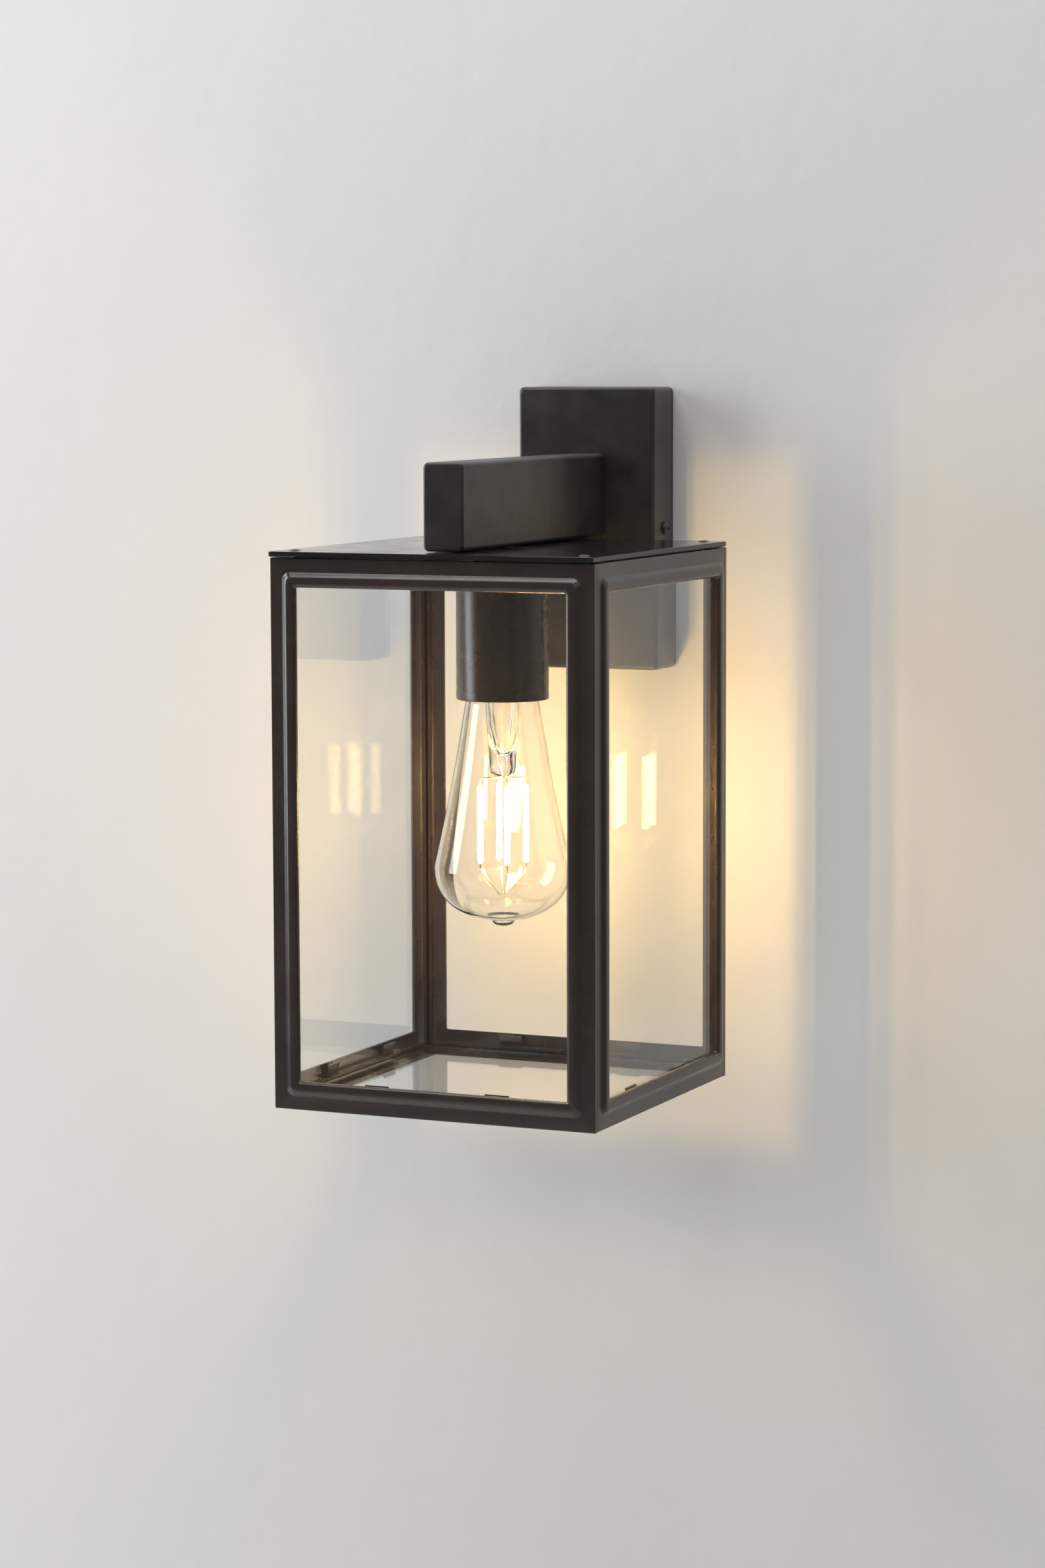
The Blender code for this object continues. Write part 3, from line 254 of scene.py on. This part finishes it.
def clear_glass(name, clear, tinted, painted_rim_shade=None, waves=0.02, scale=16.0, smudge=0.012):
    """Glass with faint waves and smudges; lamp light and diffuse light pass through it unbent.

    Where a blown shape is seen edge-on, the rim colour paints a darker, warmer tone: painted shade at
    its outline, partly the tint of the longer path through the glass.
    """
    g = Graph(name)
    haze = g.remap(g.noise(38.0, 5.0, 0.65), 0.42, 0.75)
    colour = g.mix(haze, clear, tinted)
    # Painted shade at the outline: a darker, warmer tone where the surface is seen edge-on
    if painted_rim_shade:
        facing = g.add("ShaderNodeLayerWeight", Blend=0.5).outputs["Facing"]
        colour = g.mix(g.remap(facing, 0.62, 1.0), colour, painted_rim_shade)
    rough = g.maths("MULTIPLY", haze, smudge)
    ripple = g.bump(g.noise(scale, 1.0), waves, 0.002)
    glass = g.add(
        "ShaderNodeBsdfPrincipled",
        Base_Color=colour,
        Roughness=rough,
        IOR=1.45,
        Transmission_Weight=1.0,
        Normal=ripple,
    )
    unbent = g.add("ShaderNodeBsdfTransparent", Color=clear)
    path = g.add("ShaderNodeLightPath")
    shader = glass.outputs[0]
    for kind in ("Is Shadow Ray", "Is Diffuse Ray"):
        shader = g.mix_shader(path.outputs[kind], shader, unbent.outputs[0])
    return g.surface(shader)


def lit_phosphor(name, colour, strength):
    """Glowing phosphor coat of an LED filament, slightly grainy."""
    g = Graph(name)
    grain = g.remap(g.noise(1800.0, 3.0), 0.3, 0.7)
    coat = g.mix(grain, (1.0, 0.62, 0.20), (1.0, 0.72, 0.30))
    glow = g.mix(grain, colour, tuple(c ** 0.8 for c in colour))
    shader = g.add("ShaderNodeBsdfPrincipled", Base_Color=coat, Roughness=0.6)
    g.feed(shader.inputs["Emission Color"], glow)
    g.feed(shader.inputs["Emission Strength"], strength)
    return g.surface(shader.outputs[0])


# ------------------------------------------------------------------------------------ mesh tools


def new_piece(name, bm, material, body):
    """A finished mesh piece that rides on a body."""
    bmesh.ops.recalc_face_normals(bm, faces=bm.faces)
    mesh = bpy.data.meshes.new(name)
    bm.to_mesh(mesh)
    bm.free()
    mesh.shade_smooth()
    mesh.set_sharp_from_angle(angle=math.radians(SHARP_ANGLE))
    mesh.materials.append(material)
    piece = bpy.data.objects.new(name, mesh)
    bpy.context.scene.collection.objects.link(piece)
    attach(piece, body)
    return piece


def turned(profile, centre, segments):
    """A solid turned about a vertical axis from closed (radius, z) points."""
    bm = bmesh.new()
    rings = []
    for radius, z in profile:
        if radius < 1e-7:
            rings.append([bm.verts.new((centre[0], centre[1], z))])
            continue
        ring = []
        for i in range(segments):
            angle = 2 * math.pi * i / segments
            x = centre[0] + radius * math.cos(angle)
            y = centre[1] + radius * math.sin(angle)
            ring.append(bm.verts.new((x, y, z)))
        rings.append(ring)
    for near, far in zip(rings, rings[1:] + rings[:1]):
        if len(near) == len(far) == 1:
            continue
        for i in range(segments):
            j = (i + 1) % segments
            corners = [near[i % len(near)], near[j % len(near)], far[j % len(far)], far[i % len(far)]]
            bm.faces.new(list(dict.fromkeys(corners)))
    return bm


def smooth_line(points, per_span=8):
    """Points on a smooth curve through the given ones."""
    points = [Vector(point) for point in points]
    ends = [2 * points[0] - points[1]] + points + [2 * points[-1] - points[-2]]
    line = []
    for p0, p1, p2, p3 in zip(ends, ends[1:], ends[2:], ends[3:]):
        for i in range(per_span):
            t = i / per_span
            bend = (2 * p0 - 5 * p1 + 4 * p2 - p3) * t**2 + (3 * p1 - p0 - 3 * p2 + p3) * t**3
            line.append(0.5 * (2 * p1 + (p2 - p0) * t + bend))
    line.append(points[-1])
    return line


def tube(bm, line, radius, segments):
    """Adds a round tube along a line of points to the bmesh."""
    side = (line[1] - line[0]).orthogonal().normalized()
    rings = []
    for index, point in enumerate(line):
        ahead = line[min(index + 1, len(line) - 1)] - line[max(index - 1, 0)]
        ahead.normalize()
        side = (side - side.dot(ahead) * ahead).normalized()
        other = ahead.cross(side)
        ring = []
        for i in range(segments):
            angle = 2 * math.pi * i / segments
            offset = side * math.cos(angle) + other * math.sin(angle)
            ring.append(bm.verts.new(point + offset * radius))
        rings.append(ring)
    for near, far in zip(rings, rings[1:]):
        for i in range(segments):
            j = (i + 1) % segments
            bm.faces.new((near[i], near[j], far[j], far[i]))
    bm.faces.new(rings[0])
    bm.faces.new(rings[-1])


def soften(node):
    """Smooth shading over a CAD node's rounded faces, with its real edges kept sharp."""
    mesh = node.data
    if "custom_normal" in mesh.attributes:
        mesh.attributes.remove(mesh.attributes["custom_normal"])
    mesh.polygons.foreach_set("use_smooth", [True] * len(mesh.polygons))
    weld = node.modifiers.new("weld", "WELD")
    weld.merge_threshold = 2e-6
    split = node.modifiers.new("edges", "EDGE_SPLIT")
    split.split_angle = math.radians(SHARP_ANGLE)
    weighted = node.modifiers.new("flat_faces", "WEIGHTED_NORMAL")
    weighted.keep_sharp = True


def dress(names, material):
    """Gives CAD nodes a finished material."""
    for name in names:
        node = NODES[name]
        node.data.materials.clear()
        node.data.materials.append(material)
        soften(node)


# ---------------------------------------------------------------------------------------- pieces


def envelope_line(pull):
    """(radius, z) points down the envelope, drawn in by pull millimetres."""
    neck_z, neck_radius = -75.0, 17.0
    shoulder_z, full_radius = -153.0, 32.0
    bottom_z, tip_z = -178.4, -181.2
    cone_sag = 0.7
    pip, pip_join = 5.4, 0.9
    points = [
        (11.2 - pull, -58.2),
        (11.2 - pull, -64.4),
        (12.3 - pull, -66.6),
        (13.3 - pull, -67.9),
        (15.2 - pull, -71.2),
    ]
    cone_steps = 18
    for step in range(cone_steps):
        t = step / cone_steps
        radius = neck_radius + (full_radius - neck_radius) * t - cone_sag * math.sin(math.pi * t)
        points.append((radius - pull, neck_z + (shoulder_z - neck_z) * t))
    power = 2 / 2.3
    dome_steps = 40
    for step in range(dome_steps):
        angle = math.pi / 2 * step / dome_steps
        radius = (full_radius - pull) * math.cos(angle) ** power
        z = shoulder_z + (bottom_z + pull - shoulder_z) * math.sin(angle) ** power
        if radius > pip + pip_join:
            points.append((radius, z))
    drop = tip_z + pull - bottom_z
    pip_steps = 9
    for step in range(1, pip_steps):
        angle = math.pi / 2 * step / pip_steps
        radius = (pip - 0.6 * pull) * math.cos(angle) ** 0.8
        points.append((radius, bottom_z + drop * math.sin(angle)))
    points.append((0.0, tip_z + pull))
    return [(radius * MM, z * MM) for radius, z in points]


def make_envelope(glass):
    """Clear lamp envelope with the sealed-off tip at its lowest point."""
    profile = envelope_line(0.0) + envelope_line(ENVELOPE_WALL)[::-1]
    bm = turned(profile, (AXIS_X, AXIS_Y), 96)
    piece = new_piece("lamp_envelope", bm, glass, "bulb")
    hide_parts("bulb_envelope")


def make_stem(glass):
    """Flared glass stem; its lower end is pressed flat around the lead wires."""
    outer = (
        (9.6, -59.2),
        (9.2, -62.0),
        (8.5, -68.0),
        (8.1, -78.0),
        (7.5, -88.0),
        (6.8, -97.0),
        (6.4, -103.0),
        (6.2, -107.0),
        (5.6, -109.6),
        (3.9, -111.0),
        (0.0, -111.4),
    )
    inner = (
        (0.0, -101.6),
        (2.6, -100.4),
        (4.7, -97.0),
        (6.3, -88.0),
        (7.0, -78.0),
        (7.5, -68.0),
        (8.3, -62.0),
        (8.7, -59.2),
    )
    profile = [(radius * MM, z * MM) for radius, z in outer + inner]
    bm = turned(profile, (AXIS_X, AXIS_Y), 48)
    press_top = -98 * MM
    press_depth = 6 * MM
    flattening = 0.45
    for vert in bm.verts:
        share = min(1.0, max(0.0, (press_top - vert.co.z) / press_depth))
        squeeze = 1 - flattening * share * share * (3 - 2 * share)
        vert.co.y = AXIS_Y + (vert.co.y - AXIS_Y) * squeeze
    turn = Matrix.Rotation(PRESS_TURN, 3, "Z")
    bmesh.ops.rotate(bm, verts=bm.verts, cent=(AXIS_X, AXIS_Y, 0), matrix=turn)
    piece = new_piece("lamp_stem", bm, glass, "bulb")
    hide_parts("bulb_stem")


def filament_axis(name):
    low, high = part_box(name)
    return Vector(((low.x + high.x) / 2, (low.y + high.y) / 2, 0)), low.z, high.z


def make_filaments(phosphor, metal):
    """Four glowing sticks with metal end tabs."""
    for name in FILAMENT_NAMES:
        centre, low, high = filament_axis(name)
        radius = FILAMENT_RADIUS
        ends = FILAMENT_ENDS
        profile = [(0.0, low + ends)]
        steps = 4
        for step in range(steps + 1):
            angle = math.pi / 2 * step / steps
            profile.append((radius * math.sin(angle), low + ends + radius * (1 - math.cos(angle))))
        for step in range(steps + 1):
            angle = math.pi / 2 * step / steps
            profile.append((radius * math.cos(angle), high - ends - radius * (1 - math.sin(angle))))
        bm = turned(profile, (centre.x, centre.y), 20)
        stick = new_piece(f"glowing_{name}", bm, phosphor, "bulb")
        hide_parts(name)
        tabs = bmesh.new()
        for base, tip in ((low, low + ends - 0.1 * MM), (high - ends + 0.1 * MM, high)):
            line = [Vector((centre.x, centre.y, base + (tip - base) * t / 3)) for t in range(4)]
            tube(tabs, line, TAB_RADIUS, 10)
        new_piece(f"tabs_{name}", tabs, metal, "bulb")


def make_supports(metal):
    """Bent wires from the stem to the filaments' tops, and between their lower ends."""
    upper = bmesh.new()
    lower = bmesh.new()
    stem_z = -110.2 * MM
    for name in FILAMENT_NAMES:
        centre, low, high = filament_axis(name)
        axis = Vector((AXIS_X, AXIS_Y, 0))
        out = (centre - axis).normalized()
        reach = (centre - axis).length

        def at(radius, z):
            return axis + out * radius + Vector((0, 0, z))

        route = (
            at(1.2 * MM, stem_z - 0.9 * MM),
            at(4.0 * MM, stem_z - 1.6 * MM),
            at(reach - 1.6 * MM, high + 1.2 * MM),
            at(reach, high + 0.3 * MM),
        )
        tube(upper, smooth_line(route), UPPER_WIRE, 8)
        route = (
            at(reach, low - 0.2 * MM),
            at(reach - 0.6 * MM, low - 2.4 * MM),
            at(4.4 * MM, low - 9.5 * MM),
            at(1.6 * MM, low - 12.6 * MM),
            at(0.9 * MM, low - 12.0 * MM),
        )
        tube(lower, smooth_line(route), LOWER_WIRE, 8)
    hub_z = filament_axis(FILAMENT_NAMES[0])[1] - 12.2 * MM
    ring = []
    ring_steps = 24
    for step in range(ring_steps + 1):
        angle = 2 * math.pi * step / ring_steps
        offset = Vector((math.cos(angle), math.sin(angle), 0)) * 1.5 * MM
        ring.append(Vector((AXIS_X, AXIS_Y, hub_z)) + offset)
    tube(lower, ring, UPPER_WIRE, 8)
    top = new_piece("filament_wires_upper", upper, metal, "bulb")
    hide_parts("filament_support_upper")
    bottom = new_piece("filament_wires_lower", lower, metal, "bulb")
    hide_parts("filament_support_lower")


def make_leads(metal):
    """Two lead wires inside the stem."""
    bm = bmesh.new()
    for side in (-1, 1):
        points = []
        for radius, z in ((5.4, -62.0), (4.6, -80.0), (2.8, -95.0), (1.9, -100.0), (1.9, -109.0)):
            x = AXIS_X + side * radius * MM * math.cos(PRESS_TURN)
            y = AXIS_Y + side * radius * MM * math.sin(PRESS_TURN)
            points.append((x, y, z * MM))
        tube(bm, smooth_line(points), LOWER_WIRE, 8)
    new_piece("lamp_lead_wires", bm, metal, "bulb")


def button_head(name, centre, seat, metal):
    """M3 button-head screw with a round recess."""
    crown = SCREW_CROWN
    head_radius = 2.85
    shank = 1.45 * MM
    rim_height = 0.25
    recess, chamfer = 1.12, 0.12
    tip = seat - 10 * MM
    profile = [(0.0, tip), (shank, tip), (shank, seat), (2.7 * MM, seat)]
    profile.append((head_radius * MM, seat + chamfer * MM))
    dome_steps = 9
    for step in range(dome_steps):
        angle = math.pi / 2 * step / dome_steps
        radius = head_radius * math.cos(angle) ** 0.85
        height = rim_height + (crown - rim_height) * math.sin(angle)
        if radius > 1.35:
            profile.append((radius * MM, seat + height * MM))
    profile.append((1.25 * MM, seat + crown * MM))
    profile.append((recess * MM, seat + (crown - chamfer) * MM))
    profile.append((recess * MM, seat + 0.5 * MM))
    profile.append((0.0, seat + 0.35 * MM))
    return new_piece(name, turned(profile, centre, 36), metal, "fixture")


def make_lid_screws(metal):
    for label in CORNERS:
        node = f"lid_screw_{label}"
        low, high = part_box(node)
        centre = ((low.x + high.x) / 2, (low.y + high.y) / 2)
        piece = button_head(f"button_{node}", centre, high.z - SCREW_CROWN * MM, metal)
        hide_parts(node)


# ----------------------------------------------------------------------------------------- stage


def plane_object(name, corners, material):
    mesh = bpy.data.meshes.new(name)
    mesh.from_pydata(corners, [], [(0, 1, 2, 3)])
    mesh.materials.append(material)
    made = bpy.data.objects.new(name, mesh)
    bpy.context.scene.collection.objects.link(made)
    return made


def pale_surface(name, colour, one_sided):
    """Plain pale plaster; the wall shows only its room side."""
    g = Graph(name)
    tone = g.mix(g.remap(g.noise(3.0, 4.0), 0.3, 0.7), colour, tuple(c * 0.97 for c in colour))
    relief = g.bump(g.noise(45.0, 6.0, 0.6), 0.12, 0.004)
    rough = g.remap(g.noise(20.0), 0.3, 0.7, 0.85, 0.95)
    shader = g.add("ShaderNodeBsdfPrincipled", Base_Color=tone, Roughness=rough, Normal=relief)
    if not one_sided:
        return g.surface(shader.outputs[0])
    behind = g.add("ShaderNodeNewGeometry").outputs["Backfacing"]
    clear = g.add("ShaderNodeBsdfTransparent")
    return g.surface(g.mix_shader(behind, shader.outputs[0], clear.outputs[0]))


def make_stage():
    reach = STAGE_REACH
    wall_corners = [
        (-reach, WALL_Y, FLOOR_Z),
        (reach, WALL_Y, FLOOR_Z),
        (reach, WALL_Y, WALL_TOP),
        (-reach, WALL_Y, WALL_TOP),
    ]
    wall_plaster = pale_surface("stage_wall_plaster", (0.83, 0.82, 0.80), True)
    wall = plane_object("stage_wall", wall_corners, wall_plaster)
    wall.visible_shadow = False
    floor_corners = [
        (-reach, -reach, FLOOR_Z),
        (reach, -reach, FLOOR_Z),
        (reach, reach, FLOOR_Z),
        (-reach, reach, FLOOR_Z),
    ]
    floor_plaster = pale_surface("stage_floor_plaster", (0.80, 0.79, 0.77), False)
    plane_object("stage_floor", floor_corners, floor_plaster)


def area_light(name, place, target, size, watts, colour):
    data = bpy.data.lights.new(name, "AREA")
    data.shape = "RECTANGLE"
    data.size, data.size_y = size
    data.energy = watts
    data.color = colour
    light = bpy.data.objects.new(name, data)
    light.location = place
    aim = Vector(target) - Vector(place)
    light.rotation_mode = "QUATERNION"
    light.rotation_quaternion = aim.to_track_quat("-Z", "Y")
    bpy.context.scene.collection.objects.link(light)


def make_lights():
    centre = (0, AXIS_Y, -0.1)
    area_light("window", (-1.85, -0.85, 0.35), centre, (0.8, 1.6), 26.0, DAYLIGHT)
    area_light("room_fill", (1.2, -2.2, 0.9), centre, (1.8, 1.4), 4.0, (1.0, 0.98, 0.95))
    area_light("overhead", (-0.2, -0.9, 1.6), (0, 0, 0.15), (1.6, 1.2), 18.0, WHITE_LIGHT)
    area_light("rear_fill", (0.4, 1.6, 0.3), (0, 0, -0.05), (1.2, 1.2), 4.0, WHITE_LIGHT)
    world = bpy.data.worlds.new("studio")
    world.use_nodes = True
    background = world.node_tree.nodes["Background"]
    background.inputs["Color"].default_value = (0.92, 0.93, 0.95, 1.0)
    background.inputs["Strength"].default_value = 0.17
    bpy.context.scene.world = world


def make_camera():
    data = bpy.data.cameras.new("camera")
    data.sensor_fit = "AUTO"
    data.sensor_width = CAMERA_SENSOR
    data.lens = CAMERA_LENS
    data.clip_start = 0.05
    data.clip_end = 50.0
    camera = bpy.data.objects.new("camera", data)
    back = Vector(
        (
            math.sin(CAMERA_AZIMUTH) * math.cos(CAMERA_TILT),
            -math.cos(CAMERA_AZIMUTH) * math.cos(CAMERA_TILT),
            math.sin(CAMERA_TILT),
        )
    )
    right = (-back).cross(Vector((0, 0, 1))).normalized()
    up = right.cross(-back)
    turned_right = right * math.cos(CAMERA_ROLL) + up * math.sin(CAMERA_ROLL)
    turned_up = up * math.cos(CAMERA_ROLL) - right * math.sin(CAMERA_ROLL)
    turn = Matrix((turned_right, turned_up, back)).transposed().to_4x4()
    camera.matrix_world = Matrix.Translation(CAMERA_PLACE) @ turn
    bpy.context.scene.collection.objects.link(camera)
    bpy.context.scene.camera = camera


# -------------------------------------------------------------------------------------- assembly


def dress_frame():
    """Finished materials on the CAD nodes that stay."""
    cage_paint = powder_coat("cage_paint", *CAGE_COLOURS, 0.22, 0.06, peel=0.3, sheen=0.8)
    dress([f"{side}_frame" for side in SIDES], cage_paint)
    dress([f"glass_clip_{side}" for side in SIDES] + ["bottom_frame"], cage_paint)
    dress([f"corner_bracket_{label}" for label in CORNERS], cage_paint)
    # Arm and cover paint: charcoal powder coat, slightly warmed as painted warm lamp glare
    arm_paint_with_painted_glare = powder_coat("arm_paint_with_painted_glare", *ARM_COLOURS_WITH_PAINTED_GLARE, 0.30, 0.7)
    dress(["wall_cover", "arm_tube"], arm_paint_with_painted_glare)
    # Cup paint: dark powder coat, tinted brown as painted warm lamp glow
    cup_paint_with_painted_glow = powder_coat("cup_paint_with_painted_glow", *CUP_COLOURS_WITH_PAINTED_GLOW, 0.26, 0.05, peel=0.3)
    dress(["lampholder_cup"], cup_paint_with_painted_glow)
    lid_paint = powder_coat("lid_paint", *LID_COLOURS, 0.10, 0.06, peel=0.15)
    dress(["lid_plate"], lid_paint)
    pane = clear_glass("pane_glass", (0.975, 0.985, 0.98), (0.955, 0.965, 0.955))
    dress([f"{side}_pane" for side in SIDES] + ["bottom_pane"], pane)
    zinc = bare_metal("zinc_plate", (0.55, 0.55, 0.56), (0.42, 0.42, 0.44), 0.36)
    dress(["wall_bracket", "arm_screw_lower", "arm_screw_upper"], zinc)
    brass = bare_metal("brass", (0.72, 0.50, 0.22), (0.55, 0.37, 0.16), 0.3)
    dress(["earth_screw", "threaded_nipple", "nipple_nut", "centre_contact"], brass)
    dress(["holder_terminal_live", "holder_terminal_neutral", "socket_shell"], brass)
    dress(["arm_rear_block"], bare_metal("machined_aluminium", (0.7, 0.7, 0.71), (0.6, 0.6, 0.62), 0.32))
    dress(["bulb_cap_shell"], bare_metal("nickel", (0.70, 0.68, 0.64), (0.58, 0.56, 0.52), 0.24))
    dress(["bulb_tip_contact"], bare_metal("solder", (0.60, 0.60, 0.60), (0.42, 0.42, 0.43), 0.42))
    dress(["bulb_cap_insulator"], moulded("cap_glass", (0.02, 0.02, 0.022), (0.012, 0.012, 0.014), 0.15))
    dress(["wall_gasket"], moulded("foam", (0.03, 0.03, 0.03), (0.015, 0.015, 0.015), 0.9, 0.6, 700.0))
    dress(["wire_bush"], moulded("rubber", (0.025, 0.025, 0.025), (0.014, 0.014, 0.014), 0.7, 0.2))
    dress(["terminal_block"], moulded("nylon", (0.76, 0.74, 0.69), (0.70, 0.68, 0.62), 0.45))
    dress(["lampholder_body"], moulded("porcelain", (0.80, 0.78, 0.72), (0.74, 0.71, 0.64), 0.22, 0.04))
    dress(["wire_live"], moulded("brown_insulation", (0.16, 0.06, 0.025), (0.11, 0.04, 0.018), 0.4))
    dress(["wire_neutral"], moulded("blue_insulation", (0.03, 0.11, 0.42), (0.02, 0.08, 0.33), 0.4))
    dress(["wire_earth"], striped_insulation("green_yellow", (0.03, 0.22, 0.04), (0.75, 0.62, 0.04)))


def main():
    make_camera()
    dress_frame()
    black_screw = powder_coat("blackened_screw", *SCREW_COLOURS, 0.3, 0.5)
    dress(["cover_screw_left", "cover_screw_right"], black_screw)
    dress(["lid_arm_screw_front", "lid_arm_screw_rear"], black_screw)
    make_lid_screws(black_screw)
    # Darker warm tone for the bulb's outline: painted shade, partly the tint of its longer glass path
    painted_rim_shade = (0.80, 0.74, 0.62)
    bulb_glass = clear_glass(
        "bulb_glass", (1.0, 0.995, 0.98), (0.99, 0.98, 0.96), painted_rim_shade, 0.015, 22.0, 0.0
    )
    make_envelope(bulb_glass)
    make_stem(bulb_glass)
    wire_metal = bare_metal("support_wire", (0.74, 0.71, 0.66), (0.60, 0.57, 0.52), 0.22)
    make_filaments(lit_phosphor("led_phosphor", WARM_LIGHT, FILAMENT_GLOW), wire_metal)
    make_supports(wire_metal)
    make_leads(wire_metal)
    make_stage()
    make_lights()
    scene = bpy.context.scene
    scene.view_settings.view_transform = "Standard"
    scene.view_settings.look = "None"
    scene.cycles.max_bounces = 24
    scene.cycles.transmission_bounces = 24
    scene.cycles.sample_clamp_indirect = 25.0
    scene.cycles.transparent_max_bounces = 24


main()
